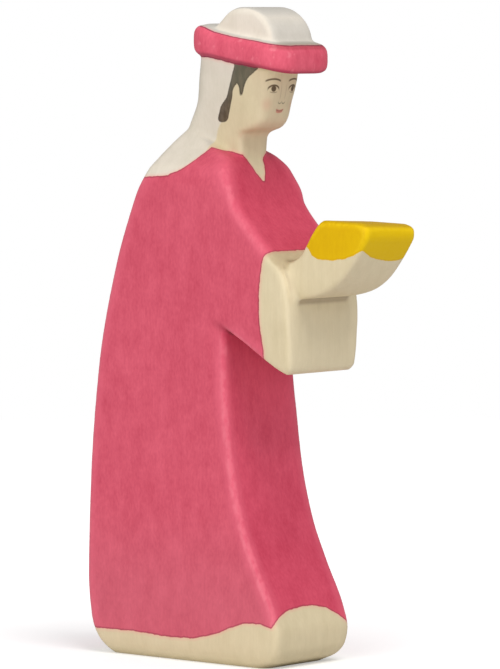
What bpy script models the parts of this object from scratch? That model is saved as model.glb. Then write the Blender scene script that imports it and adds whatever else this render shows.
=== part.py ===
# Nativity wise man, one carved piece of wood.
# Metres, +Z up. The figure faces -Y, the thickness of the board lies along X,
# and the origin is under the middle of the board at the level of the foot.
#
# The maker saws the side outline from a planed board, carves the head, hands and
# sleeves narrower, and sands every edge round. Here each form of the figure is a
# stack of rounded rectangles, one above the other. The stacks are fused into one
# body, sanded, and the foot is cut flat.
import math

import bpy
import bmesh
import numpy as np
from mathutils import Matrix

# Driving sizes in metres
HEIGHT = 0.170            # foot to crown
BOARD = 0.030             # thickness of the board, the full width of the robe
SLEEVE_WIDTH = 0.0296     # bare cuffs at their front
HAND_WIDTH = 0.0228       # both hands together where they leave the cuffs
GIFT_WIDTH = 0.0204       # tip of the gift
HEAD_WIDTH = 0.0192
BAND_WIDTH = 0.0245       # roll of cloth round the head
CROWN_WIDTH = 0.0168      # headcloth above the roll
EDGE_RADIUS = 0.0016      # long edges of the robe
CUFF_RADIUS = 0.0016
HEAD_RADIUS = 0.0072
CROWN_RADIUS = 0.0018
BAND_RADIUS = 0.0072
GRAIN = 0.0010            # cell of the mesh that is sanded
SANDING = 4               # strokes
FACETS = 8000             # triangles of the finished body
FULLEST = 0.98            # most that a corner may take of the half width

# Outlines are drawn on a squared drawing, DRAWING squares from foot to crown.
# Each is a list of (height, value) marks for a smooth line. Front and back are
# depths along Y. A width is a share of the form's own named width, and a corner
# is a share of its named radius. Marks below 0 are waste that is sawn off.
DRAWING = 170.0
SQUARE = HEIGHT / DRAWING

ROBE = {
    "front": [(-2, -10.0), (0, -12.8), (2, -16.8), (5, -18.6), (9, -19.0), (14, -17.7),
              (26, -11.9), (36, -7.5), (50, -3.8), (60, -2.3), (70, -1.2), (78, -0.7),
              (92, -0.7), (115, -4.6), (121, -3.8), (125, -2.1), (131, 1.4), (134, 6.8),
              (138, 14.0)],
    "back": [(-2, 38.4), (0, 40.6), (2, 42.3), (5, 44.0), (10, 45.5), (20, 46.5), (45, 45.7),
             (76, 42.7), (103, 36.5), (121, 29.8), (130, 25.8), (134, 23.7), (138, 20.0)],
    "width": [(-2, 0.68), (0, 0.82), (1.5, 0.915), (4, 0.985), (6.5, 1.0), (122, 1.0),
              (127.5, 0.94), (131, 0.76), (134, 0.59), (138, 0.44)],
    "corner": [(-2, 2.0), (0, 2.0), (9, 1.0), (120, 1.0), (128, 1.7), (138, 1.7)],
}
ARMS = {
    "front": [(76.2, -20.8), (77.6, -21.9), (84, -22.3), (91, -22.2), (99, -21.1),
              (103.6, -19.1), (105.6, -17.3), (109, -14.1), (113, -10.1), (118, -5.7),
              (121, -3.9), (125, -1.9)],
    "back": [(76.2, -19.8), (76.8, -18.6), (80, -13.2), (86.5, -2.4), (90, 5.0), (93, 10.0),
             (125, 10.0)],
    "width": [(76.2, 0.86), (77.6, 0.92), (81, 0.945), (85, 0.965), (91, 1.0), (122, 1.0),
              (125, 0.97)],
    "corner": [(76.2, 0.8), (103, 0.8), (108, 1.8), (125, 1.8)],
}
HANDS = {
    "front": [(95.6, -24.0), (96.4, -28.0), (97.4, -31.0), (99, -33.8), (101, -36.3),
              (103.2, -38.3), (105.7, -40.2), (109.7, -42.9), (112.8, -44.4), (114.4, -44.4),
              (115.5, -43.4), (116.0, -42.0)],
    "back": [(95.6, -12.0), (104.2, -12.0), (105.4, -21.6), (109.2, -24.8), (112.2, -26.6),
             (116.0, -29.6)],
    "width": [(95.6, 0.90), (97.2, 0.98), (99.6, 1.0), (114.4, 1.0), (115.4, 0.97),
              (116.0, 0.90)],
    "corner": [(95.6, 1.1), (100, 0.9), (116.0, 0.8)],
}
HEAD = {
    "front": [(126, 3.0), (132, 1.0), (136.8, 0.8), (138.0, -0.8), (138.6, -3.6), (140, -5.6),
              (144, -7.6), (149, -8.9), (154, -9.5), (158, -9.5)],
    "back": [(126, 20.6), (138, 19.3), (144, 17.2), (150, 15.8), (154, 15.2), (158, 14.8)],
    "width": [(126, 0.58), (133, 0.62), (138, 0.68), (143, 0.80), (149, 0.95), (153, 1.0),
              (158, 1.0)],
    "corner": [(126, 0.22), (137, 0.28), (141, 0.55), (147, 0.95), (158, 1.0)],
}
CROWN = {
    "front": [(156, -11.9), (160, -12.5), (162.7, -12.1), (165.3, -10.9), (167.6, -8.7),
              (168.9, -6.7), (169.7, -4.9), (170, -3.6)],
    "back": [(156, 8.8), (160, 10.2), (162, 10.2), (164, 9.0), (165.5, 7.2), (166.5, 6.0),
             (167.7, 4.8), (168.8, 3.3), (169.6, 1.9), (170, 1.0)],
    "width": [(156, 1.0), (168.4, 1.0), (169.2, 0.97), (169.7, 0.91), (170, 0.83)],
    "corner": [(156, 1.0), (170, 1.0)],
}
# Narrower towards the front, by depth: 0 is the named width of the front, 1 the full width
CUFF_TAPER = [(-24, 0.0), (-19, 0.3), (-12, 1.0)]
GIFT_TAPER = [(-44, 0.0), (-22, 1.0)]
GIFT_DROP = [(-44, 0.4), (-30, 0.0)]         # squares that the gift sinks towards its tip
GIFT_LEAN = 0.045                 # fall of the gift's top to the figure's left, a slope
# Most that the skirt's front edges lose under the sleeves, and where, by height and depth
PARING = 0.09
PARED_HEIGHTS = [(64, 0.0), (87, 1.0), (96, 1.0), (106, 0.0)]
PARED_DEPTHS = [(-2, 1.0), (0, 0.55), (4, 0.0)]
# Round the roll: its reach to front and back, how it leans and how tall it is by depth
BAND_REACH = (-17.3, 15.2)
BAND_LINE = [(-17, 156.2), (-9, 157.9), (-2, 158.9), (5, 160.2), (11, 161.4), (15, 161.5)]
BAND_TALL = [(-17, 8.3), (-8, 7.3), (5, 7.2), (11, 8.7), (15, 8.7)]
BAND_ROLL = 0.50                  # how round the roll's edge is, 1 is a half circle
BAND_INSET = 0.8                  # how far the edge goes in, as a share of half the height
BAND_TURN = 0.5                   # how much of that the corners lose


def through(marks, at):
    """A smooth line through (height, value) marks: a cubic that never overshoots them."""
    x, y = np.array(marks, dtype=float).T
    step = np.diff(x)
    rise = np.diff(y) / step
    slope = np.empty_like(y)
    slope[0], slope[-1] = rise[0], rise[-1]
    before, after = 2 * step[1:] + step[:-1], step[1:] + 2 * step[:-1]
    same_way = rise[1:] * rise[:-1] > 0
    safe = np.where(same_way, rise[1:] * rise[:-1], 1.0)
    mean = (before + after) * safe / (before * rise[1:] + after * rise[:-1] + (~same_way))
    slope[1:-1] = np.where(same_way, mean, 0.0)
    at = np.clip(at, x[0], x[-1])
    i = np.clip(np.searchsorted(x, at) - 1, 0, len(x) - 2)
    t = (at - x[i]) / step[i]
    return (y[i] * (1 + 2 * t) * (1 - t) ** 2 + y[i + 1] * t * t * (3 - 2 * t)
            + step[i] * t * (1 - t) * (slope[i] * (1 - t) - slope[i + 1] * t))


def ring_pattern(arc=6, side=14):
    """Once round a rounded rectangle: straight shares (-1 to 1) and corner directions."""
    straight, corner = [], []
    quarters = [(1, 1), (-1, 1), (-1, -1), (1, -1)]
    for quarter, signs in enumerate(quarters):
        for k in range(arc + 1):
            angle = math.radians(90) * (quarter + k / arc)
            straight.append(signs)
            corner.append((math.cos(angle), math.sin(angle)))
        following = quarters[(quarter + 1) % 4]
        for k in range(1, side):
            share = k / side
            straight.append([a + (b - a) * share for a, b in zip(signs, following)])
            corner.append(corner[-1])
    return np.array(straight, dtype=float), np.array(corner)


def stack(name, levels, front, back, half_width, radius, shape=None):
    """Closed body of rounded rectangles, one at each level, in metres."""
    straight, corner = ring_pattern()
    middle, half_depth = (front + back) / 2, (back - front) / 2
    r = np.minimum(radius, FULLEST * np.minimum(half_width, half_depth))[:, None]
    x = straight[:, 0] * (half_width[:, None] - r) + corner[:, 0] * r
    y = middle[:, None] + straight[:, 1] * (half_depth[:, None] - r) + corner[:, 1] * r
    z = np.repeat(levels[:, None], len(straight), axis=1)
    points = np.stack([x, y, z], axis=2)
    if shape:
        points = shape(points)
    rings, around = x.shape
    index = np.arange(rings * around).reshape(rings, around)
    beside = np.roll(index, -1, axis=1)
    sides = np.stack([index[:-1], beside[:-1], beside[1:], index[1:]], axis=2).reshape(-1, 4)
    faces = sides.tolist() + [index[0][::-1].tolist(), index[-1].tolist()]
    mesh = bpy.data.meshes.new(name)
    mesh.from_pydata(points.reshape(-1, 3).tolist(), [], faces)
    return mesh


def form(name, outline, width, radius, shape=None):
    """A stack from the outlines of the drawing, with more levels near its two ends."""
    low, high = outline["front"][0][0], outline["front"][-1][0]
    count = int((high - low) * SQUARE / GRAIN) + 8
    heights = low + (high - low) * (1 - np.cos(np.linspace(0, math.pi, count))) / 2
    return stack(name, heights * SQUARE, through(outline["front"], heights) * SQUARE,
                 through(outline["back"], heights) * SQUARE,
                 through(outline["width"], heights) * width / 2,
                 through(outline["corner"], heights) * radius, shape)


def narrowed(taper, least, drop=((-1, 0.0), (0, 0.0)), lean=0.0):
    """A shape step that makes a form narrower towards the front, down to its least share.
    Its front can sink by the drop marks, and its top lean by a slope to one side."""
    def shape(points):
        depth = points[..., 1] / SQUARE
        points[..., 0] *= least + (1 - least) * through(taper, depth)
        low, high = points[..., 2].min(), points[..., 2].max()
        share = ((points[..., 2] - low) / (high - low)) ** 2
        points[..., 2] -= through(drop, depth) * SQUARE
        points[..., 2] -= lean * share * (points[..., 0] + points[..., 0].max())
        return points
    return shape


def pared(points):
    """The skirt's front edges are pared away under the sleeves."""
    height, depth = points[..., 2] / SQUARE, points[..., 1] / SQUARE
    share = through(PARED_HEIGHTS, height) * through(PARED_DEPTHS, depth)
    points[..., 0] *= 1 - PARING * share
    return points


def roll():
    """The rolled cloth: a flat rounded ring with round edges, bent down to the front."""
    turn = np.linspace(-1, 1, 15)
    inset = 1 - (1 - np.abs(turn) ** (2 / BAND_ROLL)) ** BAND_ROLL
    tall = BAND_TALL[0][1] * SQUARE / 2
    reach = inset * tall * BAND_INSET
    front, back = (edge * SQUARE for edge in BAND_REACH)

    def lean(points):
        depth = points[..., 1] / SQUARE
        share = points[..., 2] / tall
        points[..., 2] = through(BAND_LINE, depth) * SQUARE
        points[..., 2] += share * through(BAND_TALL, depth) * SQUARE / 2
        return points

    return stack("roll", turn * tall, front + reach, back - reach, BAND_WIDTH / 2 - reach,
                 BAND_RADIUS - reach * BAND_TURN, lean)


def evaluated(thing):
    """The object's mesh as the viewport shows it, with the modifiers so far applied."""
    bpy.context.view_layer.update()
    graph = bpy.context.evaluated_depsgraph_get()
    return bpy.data.meshes.new_from_object(thing.evaluated_get(graph))


def applied(thing):
    """Take the modifiers' result as the object's own mesh."""
    thing.data = evaluated(thing)
    thing.modifiers.clear()


def joined(name, collection, meshes):
    """One object from all the forms, united, with nothing left of them inside it."""
    figure = bpy.data.objects.new(name, meshes[0])
    collection.objects.link(figure)
    for mesh in meshes[1:]:
        limb = bpy.data.objects.new(mesh.name, mesh)
        collection.objects.link(limb)
        union = figure.modifiers.new(mesh.name, "BOOLEAN")
        union.operation = "UNION"
        union.object = limb
        applied(figure)
        bpy.data.objects.remove(limb, do_unlink=True)
    return figure


def sanded(thing):
    """Round the edges and joins, and thin the mesh to its facets."""
    skin = thing.modifiers.new("even", "REMESH")
    skin.mode = "VOXEL"
    skin.voxel_size = GRAIN
    rub = thing.modifiers.new("sand", "SMOOTH")
    rub.factor = 0.5
    rub.iterations = SANDING
    applied(thing)
    triangles = sum(len(face.vertices) - 2 for face in thing.data.polygons)
    thin = thing.modifiers.new("thin", "DECIMATE")
    thin.ratio = min(1.0, FACETS / triangles)
    applied(thing)


def cut_flat(thing):
    """Saw the waste off the foot at the level of the ground."""
    work = bmesh.new()
    work.from_mesh(thing.data)
    geometry = work.verts[:] + work.edges[:] + work.faces[:]
    bmesh.ops.bisect_plane(work, geom=geometry, dist=1e-7, plane_co=(0, 0, 0),
                           plane_no=(0, 0, -1), clear_outer=True)
    rim = [edge for edge in work.edges if edge.is_boundary]
    bmesh.ops.holes_fill(work, edges=rim, sides=len(rim))
    bmesh.ops.triangulate(work, faces=[face for face in work.faces if len(face.verts) > 3])
    work.to_mesh(thing.data)
    work.free()


def centred(thing):
    """Bring the middle of the figure's box over the origin, front to back."""
    depths = [vertex.co.y for vertex in thing.data.vertices]
    middle = (min(depths) + max(depths)) / 2
    thing.data.transform(Matrix.Translation((0, -middle, 0)))


def stained_wood():
    """Raspberry stain on sanded maple, the finish of most of the figure."""
    material = bpy.data.materials.new("raspberry_stain")
    material.use_nodes = True
    surface = material.node_tree.nodes["Principled BSDF"]
    surface.inputs["Base Color"].default_value = (0.62, 0.09, 0.13, 1.0)
    surface.inputs["Roughness"].default_value = 0.55
    surface.inputs["Metallic"].default_value = 0.0
    return material


def main():
    for thing in list(bpy.data.objects):
        bpy.data.objects.remove(thing, do_unlink=True)
    collection = bpy.data.collections.new("nativity_wise_man")
    bpy.context.scene.collection.children.link(collection)

    cuffs = narrowed(CUFF_TAPER, SLEEVE_WIDTH / BOARD)
    tip = narrowed(GIFT_TAPER, GIFT_WIDTH / HAND_WIDTH, GIFT_DROP, GIFT_LEAN)
    forms = [
        form("robe", ROBE, BOARD, EDGE_RADIUS, pared),
        form("arms", ARMS, BOARD, CUFF_RADIUS, cuffs),
        form("hands", HANDS, HAND_WIDTH, CUFF_RADIUS, tip),
        form("head", HEAD, HEAD_WIDTH, HEAD_RADIUS),
        form("crown", CROWN, CROWN_WIDTH, CROWN_RADIUS),
        roll(),
    ]
    figure = joined("wise_man", collection, forms)
    sanded(figure)
    cut_flat(figure)
    centred(figure)
    figure.data.materials.clear()
    figure.data.materials.append(stained_wood())
    figure.data.shade_smooth()
    figure.data.set_sharp_from_angle(angle=math.radians(40))


main()
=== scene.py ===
# %% [markdown]
# # A carved and stained wise man
# The figure is one piece of maple from a toy maker's bench. The side outline is sawn from
# a board, the head, cuffs and hands are carved narrower, every edge is sanded round, and
# thin stains are brushed on so that the grain shows through. This lesson builds the looks
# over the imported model, which is loaded first and never changed.

# %% Load the frame
import math

import bpy
import bmesh
import numpy as np
from mathutils import Matrix, Vector


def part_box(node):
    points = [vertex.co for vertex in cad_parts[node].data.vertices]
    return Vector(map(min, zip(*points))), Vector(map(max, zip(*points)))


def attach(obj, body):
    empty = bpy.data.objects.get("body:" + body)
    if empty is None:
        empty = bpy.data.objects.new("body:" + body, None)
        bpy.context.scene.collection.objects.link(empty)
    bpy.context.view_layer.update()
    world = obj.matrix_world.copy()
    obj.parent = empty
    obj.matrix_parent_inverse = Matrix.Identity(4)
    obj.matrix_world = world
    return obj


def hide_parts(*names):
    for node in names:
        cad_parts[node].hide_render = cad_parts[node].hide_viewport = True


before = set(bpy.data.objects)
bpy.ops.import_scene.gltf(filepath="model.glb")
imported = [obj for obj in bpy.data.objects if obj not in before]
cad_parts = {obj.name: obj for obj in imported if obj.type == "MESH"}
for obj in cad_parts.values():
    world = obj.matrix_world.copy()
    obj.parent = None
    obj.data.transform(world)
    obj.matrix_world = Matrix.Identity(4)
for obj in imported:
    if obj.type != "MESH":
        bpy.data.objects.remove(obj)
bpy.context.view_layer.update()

NODE = "wise_man"
low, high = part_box(NODE)
print("the packed figure is", [round(1000 * side, 1) for side in high - low], "mm")

# %% [markdown]
# ## The camera
# A small toy looks calm and true through a long lens from far off. The camera stands to
# the figure's right, a little above it, and aims at the middle of its height. Distances
# are shares of the figure's own height, so the framing follows a change of size.

# %% Camera
HEIGHT = high.z - low.z
CAMERA_TURN = math.radians(50)      # from straight ahead, to the figure's right
CAMERA_DISTANCE = 7.482 * HEIGHT
CAMERA_RISE = 0.988 * HEIGHT
AIM = Vector((0.0, 0.00877 * HEIGHT, 0.5 * HEIGHT))
LENS = 263.7                        # millimetres on a 36 mm frame

eye = Vector((-math.sin(CAMERA_TURN), -math.cos(CAMERA_TURN), 0)) * CAMERA_DISTANCE
eye += Vector((AIM.x, AIM.y, CAMERA_RISE))
camera = bpy.data.objects.new("camera", bpy.data.cameras.new("camera"))
camera.data.lens = LENS
camera.data.sensor_width = 36.0
camera.data.clip_start = 0.01
camera.location = eye
camera.rotation_mode = "QUATERNION"
camera.rotation_quaternion = (AIM - eye).to_track_quat("-Z", "Y")
bpy.context.scene.collection.objects.link(camera)
bpy.context.scene.camera = camera
print("camera", [round(value, 3) for value in eye])

# %% [markdown]
# ## Floor and light
# The stage is a pale studio table under soft light. A white surround fills the shadows,
# one large window stands low on the figure's right, so the side is the brightest face, and
# another high in front lights the slopes and throws the hands' soft shadow. Surround and
# table look whiter to the camera than the light they give, as on an overexposed studio
# sheet, so the ground stays clean while the shadow round the foot remains.

# %% Studio
FLOOR_REACH = 4.5                   # figure heights
FLOOR_WHITE = 0.80                  # share of the light that the table gives back
FLOOR_GLOW = (0.34, 0.52, 1.2)      # at the foot, far off, and where it is full, in heights
SURROUND = 0.45                     # light from all round, where white is 1
WINDOWS = {                         # place in figure heights, width in heights, watts
    "side_window": ((-9.5, -2.2, 2.8), 5.5, 11.6),
    "high_window": ((-1.5, -4.6, 8.6), 5.0, 12.1),
}


def aimed_light(name, place, width, power):
    """A square lamp that faces the middle of the figure."""
    lamp = bpy.data.lights.new(name, "AREA")
    lamp.size = width * HEIGHT
    lamp.energy = power
    thing = bpy.data.objects.new(name, lamp)
    thing.location = Vector(place) * HEIGHT
    thing.rotation_mode = "QUATERNION"
    thing.rotation_quaternion = (AIM - thing.location).to_track_quat("-Z", "Y")
    bpy.context.scene.collection.objects.link(thing)
    return thing


for name, (place, width, power) in WINDOWS.items():
    aimed_light(name, place, width, power)

surround = bpy.data.worlds.new("surround")
bpy.context.scene.world = surround
surround.use_nodes = True
air = surround.node_tree
air.nodes.clear()
looked = air.nodes.new("ShaderNodeLightPath")
fill = air.nodes.new("ShaderNodeBackground")
fill.inputs["Strength"].default_value = SURROUND
white = air.nodes.new("ShaderNodeBackground")
either = air.nodes.new("ShaderNodeMixShader")
sky = air.nodes.new("ShaderNodeOutputWorld")
for plain in (fill, white):
    plain.inputs["Color"].default_value = (1.0, 1.0, 1.0, 1.0)
air.links.new(looked.outputs["Is Camera Ray"], either.inputs[0])
air.links.new(fill.outputs[0], either.inputs[1])
air.links.new(white.outputs[0], either.inputs[2])
air.links.new(either.outputs[0], sky.inputs["Surface"])

bpy.context.scene.view_settings.view_transform = "Standard"
bpy.context.scene.view_settings.look = "None"
print("lamps", list(WINDOWS))

# %% Floor
turn = np.radians(np.arange(0, 360, 5))
brink = np.stack([np.cos(turn), np.sin(turn), 0 * turn], axis=1) * FLOOR_REACH * HEIGHT
table = bpy.data.meshes.new("floor")
table.from_pydata(brink.tolist(), [], [list(range(len(brink)))])
floor = bpy.data.objects.new("floor", table)
bpy.context.scene.collection.objects.link(floor)
paper = bpy.data.materials.new("white_card")
paper.use_nodes = True
card = paper.node_tree.nodes["Principled BSDF"]
card.inputs["Base Color"].default_value = (FLOOR_WHITE, FLOOR_WHITE, FLOOR_WHITE, 1.0)
card.inputs["Roughness"].default_value = 0.9
card.inputs["Specular IOR Level"].default_value = 0.0
spot = paper.node_tree.nodes.new("ShaderNodeTexCoord")
away = paper.node_tree.nodes.new("ShaderNodeVectorMath")
away.operation = "LENGTH"
glow = paper.node_tree.nodes.new("ShaderNodeMapRange")
glow.interpolation_type = "SMOOTHSTEP"
glow.inputs["From Max"].default_value = FLOOR_GLOW[2] * HEIGHT
glow.inputs["To Min"].default_value = FLOOR_GLOW[0]
glow.inputs["To Max"].default_value = FLOOR_GLOW[1]
seen = paper.node_tree.nodes.new("ShaderNodeLightPath")
sheet = paper.node_tree.nodes.new("ShaderNodeEmission")
both = paper.node_tree.nodes.new("ShaderNodeAddShader")
choice = paper.node_tree.nodes.new("ShaderNodeMixShader")
end = paper.node_tree.nodes["Material Output"]
for start, stop in (
    (spot.outputs["Object"], away.inputs[0]),
    (away.outputs["Value"], glow.inputs["Value"]),
    (glow.outputs["Result"], sheet.inputs["Strength"]),
    (card.outputs[0], both.inputs[0]),
    (sheet.outputs[0], both.inputs[1]),
    (seen.outputs["Is Camera Ray"], choice.inputs[0]),
    (card.outputs[0], choice.inputs[1]),
    (both.outputs[0], choice.inputs[2]),
    (choice.outputs[0], end.inputs["Surface"]),
):
    paper.node_tree.links.new(start, stop)
floor.data.materials.append(paper)

# %% [markdown]
# ## A squared drawing
# A carver copies a figure from a squared drawing. This one has 170 squares from foot to
# crown. A few marks, each a height and a value, say how far each form reaches to the
# front and the back, how wide it is and how round its corners are. A smooth line runs
# through the marks without overshooting them.

# %% Smooth lines through marks
SQUARES = 170.0
SQUARE = HEIGHT / SQUARES


def through(marks, at):
    """A cubic through (height, value) marks. At each mark its slope is the weighted
    harmonic mean of the slopes on both sides, or nothing at a turning point."""
    x, y = np.array(marks, dtype=float).T
    step = np.diff(x)
    rise = np.diff(y) / step
    slope = np.empty_like(y)
    slope[0], slope[-1] = rise[0], rise[-1]
    before, after = 2 * step[1:] + step[:-1], step[1:] + 2 * step[:-1]
    same_way = rise[1:] * rise[:-1] > 0
    safe = np.where(same_way, rise[1:] * rise[:-1], 1.0)
    mean = (before + after) * safe / (before * rise[1:] + after * rise[:-1] + (~same_way))
    slope[1:-1] = np.where(same_way, mean, 0.0)
    at = np.clip(at, x[0], x[-1])
    i = np.clip(np.searchsorted(x, at) - 1, 0, len(x) - 2)
    t = (at - x[i]) / step[i]
    return (y[i] * (1 + 2 * t) * (1 - t) ** 2 + y[i + 1] * t * t * (3 - 2 * t)
            + step[i] * t * (1 - t) * (slope[i] * (1 - t) - slope[i + 1] * t))


def cornered(stretches, at):
    """Smooth stretches of marks that meet at sharp corners."""
    value = through(stretches[0], at)
    for stretch in stretches[1:]:
        value = np.where(at > stretch[0][0], through(stretch, at), value)
    return value


print("half way between two marks:", through([(0, 0.0), (1, 2.0)], np.array([0.5])))

# %% Outlines of the forms
ROBE = {
    "front": [(-2, -10.0), (0, -12.8), (2, -16.8), (5, -18.6), (9, -19.0), (14, -17.7),
              (26, -11.9), (36, -7.5), (50, -3.8), (60, -2.3), (70, -1.2), (78, -0.7),
              (92, -0.7), (115, -4.6), (121, -3.8), (125, -2.1), (131, 1.4), (134, 6.8),
              (138, 14.0)],
    "back": [(-2, 38.4), (0, 40.6), (2, 42.3), (5, 44.0), (10, 45.5), (20, 46.5), (45, 45.7),
             (76, 42.7), (103, 36.5), (121, 29.8), (130, 25.8), (134, 23.7), (138, 20.0)],
    "width": [(-2, 0.68), (0, 0.82), (1.5, 0.915), (4, 0.985), (6.5, 1.0), (122, 1.0),
              (127.5, 0.94), (131, 0.76), (134, 0.59), (138, 0.44)],
    "corner": [(-2, 2.0), (0, 2.0), (9, 1.0), (120, 1.0), (128, 1.7), (138, 1.7)],
}
ARMS = {
    "front": [(76.2, -20.8), (77.6, -21.9), (84, -22.3), (91, -22.2), (99, -21.1),
              (103.6, -19.1), (105.6, -17.3), (109, -14.1), (113, -10.1), (118, -5.7),
              (121, -3.9), (125, -1.9)],
    "back": [(76.2, -19.8), (76.8, -18.6), (80, -13.2), (86.5, -2.4), (90, 5.0), (93, 10.0),
             (125, 10.0)],
    "width": [(76.2, 0.86), (77.6, 0.92), (81, 0.945), (85, 0.965), (91, 1.0), (122, 1.0),
              (125, 0.97)],
    "corner": [(76.2, 0.8), (103, 0.8), (108, 1.8), (125, 1.8)],
}
HANDS = {
    "front": [(95.6, -24.0), (96.4, -28.0), (97.4, -31.0), (99, -33.8), (101, -36.3),
              (103.2, -38.3), (105.7, -40.2), (109.7, -42.9), (112.8, -44.4), (114.4, -44.4),
              (115.5, -43.4), (116.0, -42.0)],
    "back": [(95.6, -12.0), (104.2, -12.0), (105.4, -21.6), (109.2, -24.8), (112.2, -26.6),
             (116.0, -29.6)],
    "width": [(95.6, 0.90), (97.2, 0.98), (99.6, 1.0), (114.4, 1.0), (115.4, 0.97),
              (116.0, 0.90)],
    "corner": [(95.6, 1.1), (100, 0.9), (116.0, 0.8)],
}
HEAD = {
    "front": [(126, 3.0), (132, 1.0), (136.8, 0.8), (138.0, -0.8), (138.6, -3.6), (140, -5.6),
              (144, -7.6), (149, -8.9), (154, -9.5), (158, -9.5)],
    "back": [(126, 20.6), (138, 19.3), (144, 17.2), (150, 15.8), (154, 15.2), (158, 14.8)],
    "width": [(126, 0.58), (133, 0.62), (138, 0.68), (143, 0.80), (149, 0.95), (153, 1.0),
              (158, 1.0)],
    "corner": [(126, 0.22), (137, 0.28), (141, 0.55), (147, 0.95), (158, 1.0)],
}
CROWN = {
    "front": [(156, -11.9), (160, -12.5), (162.7, -12.1), (165.3, -10.9), (167.6, -8.7),
              (168.9, -6.7), (169.7, -4.9), (170, -3.6)],
    "back": [(156, 8.8), (160, 10.2), (162, 10.2), (164, 9.0), (165.5, 7.2), (166.5, 6.0),
             (167.7, 4.8), (168.8, 3.3), (169.6, 1.9), (170, 1.0)],
    "width": [(156, 1.0), (168.4, 1.0), (169.2, 0.97), (169.7, 0.91), (170, 0.83)],
    "corner": [(156, 1.0), (170, 1.0)],
}
FORMS = {                           # outline, full width and corner radius in squares
    "robe": (ROBE, 30.0, 1.6),
    "arms": (ARMS, 30.0, 1.6),
    "hands": (HANDS, 22.8, 1.6),
    "head": (HEAD, 19.2, 7.2),
    "crown": (CROWN, 16.8, 1.8),
}
FULLEST = 0.98                      # most that a corner may take of the half width
CUFFS = [(-24, 0.987), (-19, 0.991), (-12, 1.0)]     # share of the width, by depth
GIFT_TIP = [(-44, 0.895), (-22, 1.0)]
LEVEL = [(-1, 0.0), (0, 0.0)]                        # a line that drops nowhere
GIFT_DROP = [(-44, 0.4), (-30, 0.0)]                 # how far the gift sinks to its tip
GIFT_LEAN = 0.045                   # fall of the gift's top to the figure's left, a slope
PARING = 0.09                       # most that the skirt's front edges lose
PARED_HEIGHTS = [(64, 0.0), (87, 1.0), (96, 1.0), (106, 0.0)]
PARED_DEPTHS = [(-2, 1.0), (0, 0.55), (4, 0.0)]
BAND_WIDTH, BAND_CORNER = 24.5, 7.2
BAND_REACH = (-17.3, 15.2)          # depths of its front and back
BAND_LINE = [(-17, 156.2), (-9, 157.9), (-2, 158.9), (5, 160.2), (11, 161.4), (15, 161.5)]
BAND_TALL = [(-17, 8.3), (-8, 7.3), (5, 7.2), (11, 8.7), (15, 8.7)]
BAND_ROLL = 0.50                    # power of its rounded edge
BAND_INSET = 0.8                    # how far that edge draws in, a share of half its height
BAND_TURN = 0.5                     # share of the inset that the corners lose
print(len(FORMS), "forms and the roll round the head")

# %% [markdown]
# ## Surfaces from two parameters
# Each form is a surface of two parameters: the height, and the way round a rounded
# rectangle. Its size at every height is read from the smooth lines, so the whole grid
# of points is worked out at once. A turned shape could be spun from a profile, but this
# figure is flat-sided like its board, and only a stack of rectangles keeps that.

# %% Stacked rounded rectangles
MORE_LEVELS = 8                     # besides one for each square of a form's height
ROLL_LEVELS = 15


def ring_pattern(arc=6, side=14):
    """Once round a rounded rectangle. A point is its straight share times the half size
    without the corner, plus its corner direction times the radius."""
    turn = np.arange(4)[:, None] + np.arange(arc + 1) / arc
    angle = np.radians(90) * turn
    signs = np.array([(1, 1), (-1, 1), (-1, -1), (1, -1)], dtype=float)
    share = (np.arange(1, side) / side)[None, :, None]
    here, following = signs[:, None, :], np.roll(signs, -1, axis=0)[:, None, :]
    bends = np.repeat(here, arc + 1, axis=1)
    runs = here + (following - here) * share
    outward = np.stack([np.cos(angle), np.sin(angle)], axis=2)
    straight = np.concatenate([bends, runs], axis=1).reshape(-1, 2)
    corner = np.concatenate([outward, np.repeat(outward[:, -1:], side - 1, axis=1)], axis=1)
    return straight, corner.reshape(-1, 2)


def stack(name, levels, front, back, half_width, radius, shape=None):
    """x is the straight share times (half width - r) plus the corner direction times r,
    y the same about the middle of front and back, and z the level."""
    straight, corner = ring_pattern()
    middle, half_depth = (front + back) / 2, (back - front) / 2
    r = np.minimum(radius, FULLEST * np.minimum(half_width, half_depth))[:, None]
    x = straight[:, 0] * (half_width[:, None] - r) + corner[:, 0] * r
    y = middle[:, None] + straight[:, 1] * (half_depth[:, None] - r) + corner[:, 1] * r
    z = np.repeat(levels[:, None], len(straight), axis=1)
    points = np.stack([x, y, z], axis=2)
    if shape:
        points = shape(points)
    rings, around = x.shape
    index = np.arange(rings * around).reshape(rings, around)
    beside = np.roll(index, -1, axis=1)
    sides = np.stack([index[:-1], beside[:-1], beside[1:], index[1:]], axis=2).reshape(-1, 4)
    mesh = bpy.data.meshes.new(name)
    mesh.from_pydata((points * SQUARE).reshape(-1, 3).tolist(), [],
                     sides.tolist() + [index[0][::-1].tolist(), index[-1].tolist()])
    return mesh


def form(name, shape=None):
    """Levels lie closer together towards the two ends, as the cosine of an even turn."""
    outline, width, radius = FORMS[name]
    first, last = outline["front"][0][0], outline["front"][-1][0]
    count = int(last - first) + MORE_LEVELS
    levels = first + (last - first) * (1 - np.cos(np.linspace(0, math.pi, count))) / 2
    return stack(name, levels, through(outline["front"], levels),
                 through(outline["back"], levels), through(outline["width"], levels) * width / 2,
                 through(outline["corner"], levels) * radius, shape)


def narrowed(marks, drop=LEVEL, lean=0.0):
    """Every point's x is multiplied by a share that depends on its depth. Its height is
    lessened by the drop there, and by the lean times its way across, which counts by the
    square of its share of the form's height."""
    def shape(points):
        points[..., 0] *= through(marks, points[..., 1])
        bottom, top = points[..., 2].min(), points[..., 2].max()
        share = ((points[..., 2] - bottom) / (top - bottom)) ** 2
        points[..., 2] -= through(drop, points[..., 1])
        points[..., 2] -= lean * share * (points[..., 0] + points[..., 0].max())
        return points
    return shape


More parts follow.
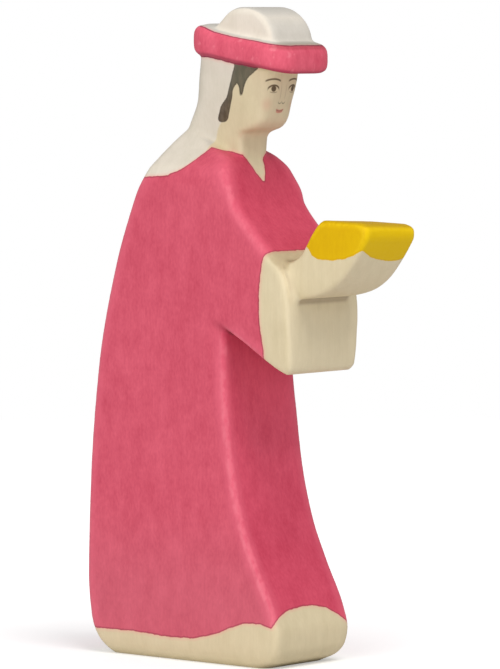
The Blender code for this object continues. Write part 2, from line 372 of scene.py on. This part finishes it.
def pared(points):
    """Under the sleeves x is lessened by the paring times its shares by height and depth."""
    share = through(PARED_HEIGHTS, points[..., 2]) * through(PARED_DEPTHS, points[..., 1])
    points[..., 0] *= 1 - PARING * share
    return points


def roll():
    """A flat rounded ring. Its edge is a superellipse: the inset grows as one minus the
    root of one minus the height's power. The ring is then leant down to the front."""
    turn = np.linspace(-1, 1, ROLL_LEVELS)
    inset = 1 - (1 - np.abs(turn) ** (2 / BAND_ROLL)) ** BAND_ROLL
    tall = BAND_TALL[0][1] / 2
    reach = inset * tall * BAND_INSET
    front, back = BAND_REACH

    def lean(points):
        depth = points[..., 1]
        share = points[..., 2] / tall
        points[..., 2] = through(BAND_LINE, depth) + share * through(BAND_TALL, depth) / 2
        return points

    return stack("roll", turn * tall, front + reach, back - reach, BAND_WIDTH / 2 - reach,
                 BAND_CORNER - reach * BAND_TURN, lean)


meshes = [form("robe", pared), form("arms", narrowed(CUFFS)),
          form("hands", narrowed(GIFT_TIP, GIFT_DROP, GIFT_LEAN)), form("head"),
          form("crown"), roll()]
print("points in the forms:", [len(mesh.vertices) for mesh in meshes])

# %% [markdown]
# ## One body, sanded
# The real figure has no joints, so the forms are united into one body. A voxel remesh
# gives an even skin over the whole of it, and a few light smoothing strokes do what
# sandpaper does: they take the corners down and leave the flats flat. A bevel could not
# follow edges that fade into each other.

# %% Unite, remesh and smooth
CELL = 0.6                          # squares
STROKES = 4


def applied(thing):
    """Take the modifiers' result as the object's own mesh."""
    bpy.context.view_layer.update()
    graph = bpy.context.evaluated_depsgraph_get()
    result = bpy.data.meshes.new_from_object(thing.evaluated_get(graph))
    thing.modifiers.clear()
    thing.data = result


def joined(name, parts):
    """One object from all the parts, united, with nothing left of them inside it."""
    whole = bpy.data.objects.new(name, parts[0])
    bpy.context.scene.collection.objects.link(whole)
    for mesh in parts[1:]:
        limb = bpy.data.objects.new(mesh.name, mesh)
        bpy.context.scene.collection.objects.link(limb)
        union = whole.modifiers.new(mesh.name, "BOOLEAN")
        union.operation = "UNION"
        union.object = limb
        applied(whole)
        bpy.data.objects.remove(limb, do_unlink=True)
    return whole


figure = joined("carved_figure", meshes)
skin = figure.modifiers.new("skin", "REMESH")
skin.mode = "VOXEL"
skin.voxel_size = CELL * SQUARE
rub = figure.modifiers.new("rub", "SMOOTH")
rub.factor = 0.5
rub.iterations = STROKES
applied(figure)
print("skin points", len(figure.data.vertices))

# %% Saw the foot flat and stand it over the origin
work = bmesh.new()
work.from_mesh(figure.data)
everything = work.verts[:] + work.edges[:] + work.faces[:]
bmesh.ops.bisect_plane(work, geom=everything, dist=1e-7, plane_co=(0, 0, 0),
                       plane_no=(0, 0, -1), clear_outer=True)
sawn = [edge for edge in work.edges if edge.is_boundary]
bmesh.ops.holes_fill(work, edges=sawn, sides=len(sawn))
bmesh.ops.triangulate(work, faces=[face for face in work.faces if len(face.verts) > 4])
work.to_mesh(figure.data)
work.free()


def rows(items, name, width, kind=float):
    """One property of all of a mesh's points or edges, a row for each."""
    flat = np.empty(len(items) * width, dtype=kind)
    items.foreach_get(name, flat)
    return flat.reshape(-1, width)


def points_of(mesh):
    """All of a mesh's points as rows of x, y, z."""
    return rows(mesh.vertices, "co", 3)


points = points_of(figure.data)
OFFSET = ((points[:, 1].min() + points[:, 1].max()) / 2 - (low.y + high.y) / 2) / SQUARE
figure.data.transform(Matrix.Translation((0, -OFFSET * SQUARE, 0)))
figure.data.shade_smooth()
print("drawing's depth 0 is at", round(-OFFSET, 3), "squares")

# %% [markdown]
# ## Soft joins
# The hands leave the cuffs without a sharp corner: the knife rounds that join and sandpaper
# follows. Only the hollow there is smoothed further, because the same strokes over the whole
# figure would take its crisp edges too.

# %% Smooth the hollow between cuffs and hands
JOIN_STROKES = 24
VALLEY_PASSES, VALLEY_FULL = 30, 0.05       # averaging, and the bend that counts in full
JOIN_BOX = ((9.4, 16.0), (-32.0, -13.0), (94.0, 109.0))     # from and to, on each axis


def edges_of(mesh):
    """The two ends of every edge."""
    return rows(mesh.edges, "vertices", 2, np.int64).T


def neighbours_mean(values, ends):
    """For each point, the sum of its neighbours' values over their count."""
    start, end = np.concatenate([ends, ends[::-1]], axis=1)
    return np.bincount(start, values[end], len(values)) / np.bincount(start)


def sharpness(mesh, places, ends, passes):
    """How far each point stands proud of its neighbours' middle along its normal, over
    the edge length squared: positive on ridges, negative in valleys, then averaged."""
    normal = rows(mesh.vertex_normals, "vector", 3)
    start, end = np.concatenate([ends, ends[::-1]], axis=1)
    gap = places[start] - places[end]
    proud = 2 * np.einsum("ij,ij->i", gap, normal[start]) / np.einsum("ij,ij->i", gap, gap)
    value = np.bincount(start, proud, len(places)) / np.bincount(start)
    for _ in range(passes):
        value = 0.5 * value + 0.5 * neighbours_mean(value, ends)
    return value


def on_drawing(mesh):
    """All of a mesh's points in squares of the drawing."""
    places = points_of(mesh) / SQUARE
    places[:, 1] += OFFSET
    return places


places = on_drawing(figure.data)
ends = edges_of(figure.data)
bend = -sharpness(figure.data, places, ends, VALLEY_PASSES)
aside = np.stack([np.abs(places[:, 0]), places[:, 1], places[:, 2]], axis=1)
first, last = np.array(JOIN_BOX).T
inside = np.all((aside > first) & (aside < last), axis=1)
weight = np.clip(bend / VALLEY_FULL, 0.0, 1.0) * inside
for _ in range(JOIN_STROKES):
    middle = np.stack([neighbours_mean(axis, ends) for axis in places.T], axis=1)
    places += weight[:, None] * (middle - places)
places[:, 1] -= OFFSET
figure.data.vertices.foreach_set("co", (places * SQUARE).ravel())
figure.data.update()
print("points eased in the join:", int((weight > 0.1).sum()))

# %% [markdown]
# ## Where one paint ends and the next begins
# A painter runs a brush along each form by eye: the hem waves round the foot, the collar
# dips to a point, the band fills the roll. Each line is marked on the squared drawing by
# how far round the figure it is. Every point of the skin then learns its distance to the
# line, and the material only has to ask for that distance, at any fineness.

# %% Lines of the paint
HEM = [  # way round from the middle of the front, less than nothing on the figure's right
    [(-94, 8.4), (-83, 6.8), (-74.6, 6.5), (-63.6, 6.6), (-51.9, 6.1), (-44.4, 6.3),
     (-37.1, 7.7), (-28.9, 10.6), (-23.6, 11.8), (-20.6, 11.8), (-16.6, 11.0)],
    [(-16.6, 11.0), (-15.3, 11.9), (-12.1, 13.9), (-6.9, 15.3), (-0.6, 15.6), (5.7, 14.7),
     (10.3, 12.7), (12.5, 11.2), (15.5, 9.6)],
    [(15.5, 9.6), (20, 10.9), (24, 11.3), (30, 10.3), (38, 7.8), (46, 6.4), (54, 6.2),
     (65, 6.8), (76, 6.5), (83, 6.8), (94, 8.4)],
]
COLLAR = [
    [(0, 124.7), (2, 127.3), (4, 129.4), (6.8, 131.9)],
    [(6.8, 131.9), (9.2, 132.5), (13.7, 133.0), (18.2, 133.8)],
    [(18.2, 133.8), (22.2, 131.6), (25.9, 129.7), (29.4, 128.1), (32.3, 127.1), (35.3, 126.5),
     (39.6, 126.1), (44, 125.9), (58, 125.4)],
]
SLEEVE = [(0, -40.0), (68, -40.0), (72, -14.0), (80.8, -13.9), (89.9, -13.1), (96, -13.0),
          (102.2, -13.6), (105, -14.1), (107.1, -15.0), (108.4, -16.5), (125, -18.0)]
GIFT = [
    [(-45, 109.8), (-32, 109.6), (-28.8, 109.3), (-27.4, 108.7), (-24.5, 106.8), (-21.3, 106.0),
     (-18.2, 105.8), (-15.1, 106.1), (-12.3, 106.9), (-10.5, 107.8), (-9.2, 108.5)],
    [(-9.2, 108.5), (-5.4, 107.0), (-1.3, 106.0), (3.3, 105.4), (7.0, 105.3), (10.2, 106.0)],
    [(10.2, 106.0), (14, 105.6), (19, 105.6), (24.5, 106.6), (27.4, 108.4), (29, 109.3),
     (45, 109.8)],
]
VEIL = [(120, 9.6), (133.8, 9.0), (138, 8.0), (141.4, 5.6), (146, 2.6), (150, 0.6),
        (155, -1.4), (157, -2.0), (159.5, -40.0)]
SEAM = 0.30                         # squares between the band's edge and what it is wound on
LAP = 1.85                          # squares of the roll's top that the band's paint covers
FLUSH, FLUSH_FROM = 1.0, 4.0        # how deep the paint holds where the roll meets the back
BAND_SPAN = (150.0, 168.0)          # heights that its paint keeps between
GIFT_END = -18.0                    # depth behind which nothing is yellow
NECK_FRONT = -1.2
TURNS = {                           # half width, and the depth where the way turns back
    "skirt": (15.0, 30.0), "neck": (15.0, 18.0), "palm": (11.0, -26.0),
}
LOCK = {                            # the hair beside the cheek, depths by height
    "front": [(140.3, 5.4), (140.6, 4.4), (142.4, 3.3), (144.8, 2.2), (147.2, 1.1), (148.1, 0.9),
              (149.9, -0.3), (150.6, -1.2), (155, -3.0)],
    "back": [(140.3, 6.6), (140.8, 7.3), (143, 6.4), (144.2, 5.8), (146.8, 3.2), (150.7, 1.3),
             (155, -0.3)],
}
TEMPLE = {                          # the hair that comes to a point before the ear
    "front": [(147.0, -1.9), (147.8, -2.4), (149.6, -3.2), (151.7, -4.4), (153.6, -6.4),
              (155, -8.4)],
    "back": [(147.0, -1.7), (147.5, -1.4), (149.3, -1.5), (150.4, -1.0), (155, -1.0)],
}
HAIR_SIDE, HAIR_TOP = 3.0, 157.0    # how far out it starts, and the height where it ends


def way_round(x, y, front, turn, middle):
    """The way across plus the depth behind the front, with the sign of x. Past the depth
    called middle, the way across is twice the half width, called turn, less the way out."""
    across = np.where(y > middle, 2 * turn - np.abs(x), np.abs(x))
    return np.where(x < 0, -1.0, 1.0) * (across + np.maximum(y - front, 0))


def rounded(x, y, front, back, half_width, radius):
    """Distance outside a rounded rectangle: the length of the positive part of the offset
    from the inner rectangle, less r. Inside it is less than nothing."""
    half_depth = (back - front) / 2
    r = np.minimum(radius, FULLEST * np.minimum(half_width, half_depth))
    aside = np.abs(x) - half_width + r
    along = np.abs(y - (front + back) / 2) - half_depth + r
    beyond = np.hypot(np.maximum(aside, 0), np.maximum(along, 0))
    return beyond + np.minimum(np.maximum(aside, along), 0) - r


def outside(name, x, y, z):
    """Distance outside a form at height z, as if its sides were plumb."""
    outline, width, radius = FORMS[name]
    front, back = through(outline["front"], z), through(outline["back"], z)
    return rounded(x, y, front, back, through(outline["width"], z) * width / 2,
                   through(outline["corner"], z) * radius)


def paint_levels(x, y, z):
    """For each paint a number that is positive where it covers and nothing on its edge."""
    skirt = way_round(x, y, through(ROBE["front"], z), *TURNS["skirt"])
    neck = np.abs(way_round(x, y, NECK_FRONT, *TURNS["neck"]))
    palm = way_round(x, y, through(HANDS["front"], z), *TURNS["palm"])
    robe = np.minimum(cornered(COLLAR, neck) - z, z - cornered(HEM, skirt))
    robe = np.minimum(robe, y - through(SLEEVE, z))
    gift = np.minimum(z - cornered(GIFT, palm), GIFT_END - y)
    band = np.minimum(outside("crown", x, y, z), outside("head", x, y, z)) - SEAM
    band = np.minimum(band, np.minimum(z - BAND_SPAN[0], BAND_SPAN[1] - z))
    wall = rounded(x, y, *BAND_REACH, BAND_WIDTH / 2, BAND_CORNER)
    rise = z - through(BAND_LINE, y)
    band = np.where(rise > 0, np.minimum(band, LAP + wall), band)
    flush = np.minimum(FLUSH + wall, through(BAND_TALL, y) / 2 - np.abs(rise) - SEAM)
    band = np.maximum(band, np.minimum(flush, y - FLUSH_FROM))
    veil = np.minimum(y - through(VEIL, z), z - cornered(COLLAR, neck))
    strands = [np.minimum(y - through(side["front"], z), through(side["back"], z) - y)
               for side in (LOCK, TEMPLE)]
    tips = LOCK["front"][0][0], TEMPLE["front"][0][0]
    hair = np.maximum(*(np.minimum(strand, z - tip) for strand, tip in zip(strands, tips)))
    hair = np.minimum(hair, np.minimum(np.abs(x) - HAIR_SIDE, HAIR_TOP - z))
    return {"robe": robe, "gift": gift, "band": band, "veil": veil, "hair": hair}


points = on_drawing(figure.data)
levels = paint_levels(*points.T)
print({name: int((value > 0).sum()) for name, value in levels.items()}, "points painted")

# %% True distances, kept on the mesh
REACH = 4.0                         # squares, past which a distance no longer matters
BLOCK = 500                         # points measured at a time, to spare memory
BENDS = {"ridge": 6, "edge": 60}    # how often each is averaged: fine edges, broad edges


def signed_distance(places, ends, level):
    """The line is where level changes sign along an edge. Each point near it gets the
    distance to its nearest crossing, with the sign of level, and the rest get REACH."""
    start, end = ends
    crosses = (level[start] > 0) != (level[end] > 0)
    start, end = start[crosses], end[crosses]
    share = (level[start] / (level[start] - level[end]))[:, None]
    line = places[start] + share * (places[end] - places[start])
    near = np.flatnonzero(np.abs(level) < 2 * REACH)
    distance = np.full(len(level), REACH)
    for block in np.array_split(near, max(1, len(near) // BLOCK)):
        gap = places[block][:, None, :] - line[None, :, :]
        distance[block] = np.sqrt(np.einsum("ijk,ijk->ij", gap, gap).min(axis=1))
    return np.where(level > 0, 1.0, -1.0) * np.minimum(distance, REACH)


def keep(mesh, name, values):
    """Store one number for each point under a name that the material can read."""
    attribute = mesh.attributes.new(name, "FLOAT", "POINT")
    attribute.data.foreach_set("value", values.astype(np.float32))


for name, level in levels.items():
    keep(figure.data, name, signed_distance(points, ends, level))

for name, passes in BENDS.items():
    bend = sharpness(figure.data, points, ends, passes)
    keep(figure.data, name, bend)
    print(name, "from flats to corners:", np.percentile(bend, [2, 50, 80, 90, 95, 99]).round(2))

# %% [markdown]
# ## Shader maths as sums
# A material is a long sum over the surface. One small class wraps a socket, so a sum is
# written as plain Python and each sign adds its Math node. Colours go through Mix nodes,
# because a Math node would turn them grey.

# %% One class for the sums
class Wire:
    """A value on its way through the material."""

    tree = None

    def __init__(self, socket):
        self.socket = socket

    @classmethod
    def node(cls, kind, settings=None, sockets=None, output=0):
        """Add a node: its type, its settings, the values or wires of its sockets."""
        made = cls.tree.nodes.new(kind)
        for name, value in (settings or {}).items():
            setattr(made, name, value)
        for name, value in (sockets or {}).items():
            if isinstance(value, Wire):
                cls.tree.links.new(value.socket, made.inputs[name])
            else:
                made.inputs[name].default_value = value
        return cls(made.outputs[output])

    def other(self, output):
        """Another output of the same node."""
        return Wire(self.socket.node.outputs[output])

    def maths(self, operation, *others):
        """One Math node, of this value and the others."""
        return Wire.node("ShaderNodeMath", {"operation": operation},
                         dict(enumerate((self,) + others)))

    def __add__(self, value):
        return self.maths("ADD", value)

    def __sub__(self, value):
        return self.maths("SUBTRACT", value)

    def __rsub__(self, value):
        return Wire.node("ShaderNodeMath", {"operation": "SUBTRACT"}, {0: value, 1: self})

    def __mul__(self, value):
        return self.maths("MULTIPLY", value)

    __radd__ = __add__
    __rmul__ = __mul__

    def least(self, value):
        return self.maths("MINIMUM", value)

    def most(self, value):
        return self.maths("MAXIMUM", value)

    def size(self):
        return self.maths("ABSOLUTE")

    def root(self):
        return self.maths("SQRT")

    def ease(self, start, end):
        """Nothing before start, 1 after end, and a smooth step between them."""
        return Wire.node("ShaderNodeMapRange", {"interpolation_type": "SMOOTHSTEP"},
                         {"Value": self, "From Min": start, "From Max": end})


def colour(red, green, blue):
    """A screen colour (0 to 255) as the light that it stands for."""
    share = np.array([red, green, blue]) / 255
    light = np.where(share > 0.04045, ((share + 0.055) / 1.055) ** 2.4, share / 12.92)
    return (*light.tolist(), 1.0)


def mixed(share, first, second, blend="MIX"):
    """From the first colour to the second, by a share."""
    return Wire.node("ShaderNodeMix", {"data_type": "RGBA", "blend_type": blend},
                     {0: share, 6: first, 7: second}, 2)


material = bpy.data.materials.new("stained_maple")
material.use_nodes = True
Wire.tree = material.node_tree
place = Wire.node("ShaderNodeTexCoord", output="Object")
drawing = Wire.node("ShaderNodeMapping", {"vector_type": "POINT"},
                    {"Vector": place, "Location": (0, OFFSET, 0),
                     "Scale": (1 / SQUARE, 1 / SQUARE, 1 / SQUARE)})
x = Wire.node("ShaderNodeSeparateXYZ", sockets={0: drawing}, output=0)
y, z = x.other(1), x.other(2)
distance = {name: Wire.node("ShaderNodeAttribute", {"attribute_name": name}, output="Fac")
            for name in (*levels, *BENDS)}
normal = Wire.node("ShaderNodeSeparateXYZ", sockets={0: place.other(1)})
facing, upward = normal.other(1).size(), normal.other(2)
# Painted light and shade by which way a face turns: this picks the front and back faces.
front_back_painted_light = facing.ease(0.3, 0.9)           # 1 on the front and the back, 0 on the flats
print("reads", list(distance))

# %% [markdown]
# ## Maple
# Maple is pale and close, with short flecks, fine fibres and faint year rings, all
# running up the board. A solid texture does this best: it is stretched along the height,
# so side, front and end of the figure are cut from the same block of wood.

# %% Grain
def noise(scale, squash, detail=2.0, rough=0.5, shift=0.0):
    """Noise on the drawing, with its features longer up the board by one over squash."""
    stretched = Wire.node("ShaderNodeMapping", {"vector_type": "POINT"},
                          {"Vector": drawing, "Location": (shift, shift, shift),
                           "Scale": (1.0, 1.0, squash)})
    return Wire.node("ShaderNodeTexNoise", {"noise_dimensions": "3D"},
                     {"Vector": stretched, "Scale": scale, "Detail": detail, "Roughness": rough})


PITH = (-64.0, 38.0)                # heart of the tree, beside the board
fibre = noise(1.7, 0.07, 2.0, 0.5) - 0.5
fleck = noise(1.5, 0.5, 2.0, 0.55, 31.0) - 0.5
mottle = noise(0.27, 0.7, 2.0, 0.5, 11.0) - 0.5
cloud = noise(0.085, 0.55, 3.0, 0.6, 7.0) - 0.5
from_pith = ((x - PITH[0]) * (x - PITH[0]) + (y - PITH[1]) * (y - PITH[1])).root()
rings = ((from_pith + 5.0 * noise(0.05, 0.12, 2.0, 0.5, 3.0)) * 2.1).maths("SINE")
wobble = (noise(0.45, 1.0, 2.0, 0.5, 17.0) - 0.5) * 0.6
wobble = wobble + (noise(2.2, 1.0, 1.0, 0.5, 5.0) - 0.5) * 0.16


def cover(name, soft=0.12):
    """1 inside a paint's line and 0 outside, with a brush's slight wobble."""
    return (distance[name] + wobble).ease(-soft, soft)


tone = 0.5 + 0.35 * fibre + 0.25 * fleck + 0.04 * rings + 0.6 * cloud + 0.4 * mottle
bare = mixed(tone, colour(207, 191, 154), colour(229, 214, 180))
# Painted light: the bare wood is lighter on the front and back faces above the skirt.
bare = mixed(front_back_painted_light * z.ease(60.0, 80.0), bare,
             mixed(tone, colour(217, 201, 166), colour(239, 224, 191)))

# %% [markdown]
# ## Stains
# The robe's stain soaks in, so grain shows through it: deeper where the fibres are open
# and on slopes, which cut across them, paler on edges, partly rubbed thin and partly a
# painted highlight, and a dark line of pigment where the brush stopped. The band round the
# head has a second coat. The headcloth is a thin white wash and the gift a clear yellow
# glaze. Every paint also carries painted light and shade: lighter, greyer or more saturated
# copies on the front and back faces, darker tops and undersides, and a painted shadow
# under the sleeves.

# %% Colours of the stains
# Paler edges, partly the stain worn thin and partly a painted highlight, broken into patches.
wear_and_highlight_patches = 0.35 + 1.3 * noise(0.8, 0.6, 2.0, 0.5, 23.0).ease(0.35, 0.62)
wear_and_highlight = (distance["ridge"].ease(0.10, 0.36) * wear_and_highlight_patches).least(1.0)
soak = 0.5 - 0.3 * fibre - 1.0 * fleck + 0.9 * cloud + 1.1 * mottle - 0.03 * rings
raspberry = mixed(soak, colour(223, 98, 118), colour(201, 76, 97))
raspberry = mixed(z.ease(45.0, 12.0) * 0.2, raspberry, colour(195, 122, 132))
# Painted shade: the robe's front and back faces get a more saturated copy of its stain, the
# colour it takes in shade.
raspberry = mixed(front_back_painted_light * 0.8, raspberry,
                  mixed(soak, colour(236, 92, 118), colour(216, 72, 98)))
end_grain = upward.size().ease(0.08, 0.42) * facing.ease(0.3, 0.8)
raspberry = mixed(end_grain * 0.85, raspberry,
                  mixed(soak, colour(214, 80, 104), colour(196, 62, 87)))
# Painted shadow: the skirt's front faces just below the sleeves are darker, as in the sleeves'
# shade.
sleeve_painted_shadow = facing.ease(0.5, 0.9) * z.ease(68.0, 86.0) * z.ease(93.0, 90.0)
sleeve_painted_shadow = sleeve_painted_shadow * y.ease(8.0, 5.0)
raspberry = mixed(sleeve_painted_shadow * 0.4, raspberry, colour(176, 52, 76))
# Painted highlight: a broad lighter band along the rounded edges.
raspberry = mixed(distance["edge"].ease(0.03, 0.12) * 0.3, raspberry, colour(238, 112, 134))
# Painted highlight, partly wear: the robe's sharp edges are paler.
raspberry = mixed(wear_and_highlight * 0.30, raspberry, colour(244, 138, 152))
second_coat = mixed(soak, colour(234, 105, 126), colour(214, 82, 104))
blush = noise(0.5, 0.8, 2.0, 0.5, 53.0).ease(0.58, 0.72)
second_coat = mixed(blush * 0.35, second_coat, colour(248, 150, 162))
# Painted shade: the band is darker where it faces down.
second_coat = mixed((0.0 - upward).ease(0.35, 0.8) * 0.6, second_coat, colour(150, 50, 76))
chalk = 0.38 + 0.3 * fibre + 0.3 * fleck + 0.7 * cloud + 0.5 * mottle
chalk = chalk + 0.3 * z.ease(152.0, 164.0)
wash = mixed(chalk, colour(213, 204, 185), colour(238, 228, 214))
# Painted shade: the headcloth is greyer on its front and back faces and where it faces up, and
# darker still on its flat top.
wash = mixed((facing.ease(0.4, 0.9) * 0.8).most(upward.ease(0.6, 0.95)), wash,
             mixed(chalk, colour(192, 187, 177), colour(217, 211, 201)))
wash = mixed(upward.ease(0.75, 1.0) * 0.6, wash, colour(186, 181, 172))
glaze = mixed(0.5 - 0.3 * fibre - 0.4 * fleck + 0.9 * cloud + 0.6 * mottle,
              colour(229, 188, 0), colour(214, 166, 0))
# Painted light: the gift is brighter on its front and back faces.
glaze = mixed(front_back_painted_light * 0.8, glaze, colour(238, 198, 0))
# Painted highlight, partly wear: the gift's sharp edges are paler.
glaze = mixed(wear_and_highlight * 0.4, glaze, colour(246, 208, 24))
# Painted shade: the gift's top is darker.
glaze = mixed(upward.ease(0.4, 0.9) * 0.6, glaze, colour(186, 146, 0))

# %% Layers of paint, one over another
RIM = 0.28                          # squares, half width of a pigment line


def rim(name, inset=0.22, half=RIM):
    """A thin line just inside a paint's edge."""
    return (distance[name] + wobble - inset).size().ease(half, 0.06)


def bleed(name):
    """Stain that crept into the bare wood beside a line."""
    return (distance[name] + wobble).ease(-1.1, 0.0)


surface = mixed(cover("veil", 0.35), bare, wash)
surface = mixed(bleed("robe") * 0.30, surface, colour(240, 158, 150))
surface = mixed(bleed("band") * 0.30, surface, colour(240, 158, 150))
surface = mixed(cover("robe"), surface, raspberry)
surface = mixed(rim("robe") * 0.55, surface, colour(140, 58, 70))
surface = mixed(cover("gift"), surface, glaze)
surface = mixed(rim("gift") * 0.3, surface, colour(206, 150, 10))

# %% [markdown]
# ## Hair and face
# The hair is painted with an almost dry brush, so it is streaked and its edges are darker.
# The face is a plain one of the workshop's own: thin strokes on the bare wood, laid out by
# the usual thirds, each a piece of a circle on the unrolled front of the head.

# %% Hair
streak = noise(1.1, 0.25, 2.0, 0.6, 41.0).ease(0.35, 0.68)
brown = mixed(z.ease(143.0, 152.0), colour(76, 60, 45), colour(89, 87, 72))
strands = mixed(streak * 0.35, brown, colour(128, 114, 94))
strands = mixed(rim("hair", 0.15) * 0.5, strands, colour(62, 50, 40))
surface = mixed((distance["hair"] + 0.4 * wobble).ease(-0.15, 0.15) * 0.95, surface, strands)

# %% Face
HEAD_ROUND = 9.0                    # radius of the front of the head, in squares
along = x.size().maths("ARCTAN2", -0.5 - y) * HEAD_ROUND


def stroke(middle, height, radius, half, span, upper=1.0):
    """A brush line along the upper (or lower, -1) part of a circle on the unrolled face."""
    across, rise = along - middle, z - height
    line = ((across * across + rise * rise).root() - radius).size().ease(half + 0.14, half - 0.1)
    return line * (upper * rise).ease(0.0, 0.5) * across.size().ease(span + 0.3, span - 0.3)


def spot_at(middle, height, radius, soft):
    """A round touch of colour."""
    across, rise = along - middle, z - height
    return (across * across + rise * rise).root().ease(radius + soft, radius - soft)


surface = mixed(spot_at(5.6, 144.9, 1.3, 1.3) * 0.22, surface, colour(226, 142, 122))
bridge = (along - 1.05).size().ease(0.30, 0.05) * z.ease(145.6, 147.0) * z.ease(151.0, 148.5)
surface = mixed(bridge * 0.22, surface, colour(140, 104, 74))
surface = mixed(stroke(0.0, 148.6, 5.5, 0.42, 1.7, -1.0) * 0.65, surface, colour(204, 104, 96))
surface = mixed(stroke(0.0, 148.4, 5.2, 0.10, 1.9, -1.0) * 0.55, surface, colour(130, 62, 56))
pupil = spot_at(3.9, 149.0, 0.78, 0.14) * spot_at(3.85, 147.6, 2.3, 0.1)
for touch, strength in ((stroke(3.85, 147.6, 2.3, 0.20, 1.8), 0.9),
                        (stroke(3.85, 151.4, 3.4, 0.10, 1.1, -1.0), 0.55),
                        (stroke(4.0, 145.9, 5.6, 0.20, 2.3), 0.85),
                        (stroke(0.85, 146.1, 0.95, 0.12, 0.75, -1.0), 0.55),
                        (pupil, 0.92)):
    surface = mixed(touch * strength, surface, colour(84, 66, 46))

# %% [markdown]
# ## Band and hollows
# The band's stain goes on last and gathers in a dark line at both edges. The narrow joins
# are painted darker as shade: the creases below the chest, the ledge behind the hands, and
# where the saw turned under the sleeve.

# %% The band over all, then the hollows
KERF_START, KERF_WAY = (-2.4, 86.5), (0.904, 0.428)     # depth and height, and direction
surface = mixed(cover("band"), surface, second_coat)
surface = mixed(rim("band", 0.28, 0.46) * 0.8, surface, colour(126, 44, 68))
# Painted shade: the creases below the chest are darkened.
crease_painted_shade = (0.0 - distance["ridge"]).ease(0.06, 0.30) * z.ease(124.0, 112.0)
surface = mixed(crease_painted_shade * 0.45, surface, colour(128, 98, 74), "MULTIPLY")
# Painted shade: the bare ledge on the cuffs behind the hands is darkened, as in the hands'
# shadow.
ledge_painted_shade = upward.ease(0.3, 0.7) * y.ease(-24.0, -20.0) * y.ease(-12.0, -15.0)
ledge_painted_shade = ledge_painted_shade * z.ease(98.0, 103.0)
surface = mixed(ledge_painted_shade * (1 - cover("robe")) * 0.5, surface, colour(178, 164, 140), "MULTIPLY")
# Painted shade: a soft dark smudge on the sides where the saw turned under the sleeve, standing
# in for the shade of a shallow hollow.
run = KERF_WAY[0] * (y - KERF_START[0]) + KERF_WAY[1] * (z - KERF_START[1])
gap = KERF_WAY[0] * (z - KERF_START[1]) - KERF_WAY[1] * (y - KERF_START[0]) + 0.5 * wobble
kerf_painted_shade = gap.size().ease(1.5, 0.0) * run.ease(7.5, 0.5) * run.ease(-2.5, 0.0)
surface = mixed(kerf_painted_shade * x.size().ease(12.0, 14.0) * 0.5, surface, colour(160, 50, 70))

# %% Finish of the surface
finish = Wire.tree.nodes["Principled BSDF"]
finish.inputs["Specular IOR Level"].default_value = 0.12
relief = Wire.node("ShaderNodeBump", sockets={"Strength": 0.25, "Distance": 0.00006,
                                              "Height": fibre + 0.6 * fleck}, output=0)
roughness = 0.58 - 0.3 * fibre - 0.1 * cover("robe")
Wire.tree.links.new(surface.socket, finish.inputs["Base Color"])
Wire.tree.links.new(roughness.socket, finish.inputs["Roughness"])
Wire.tree.links.new(relief.socket, finish.inputs["Normal"])
figure.data.materials.clear()
figure.data.materials.append(material)
print("nodes in the material:", len(Wire.tree.nodes))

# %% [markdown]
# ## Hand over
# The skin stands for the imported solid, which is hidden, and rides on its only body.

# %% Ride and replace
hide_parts(NODE)
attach(figure, "root")
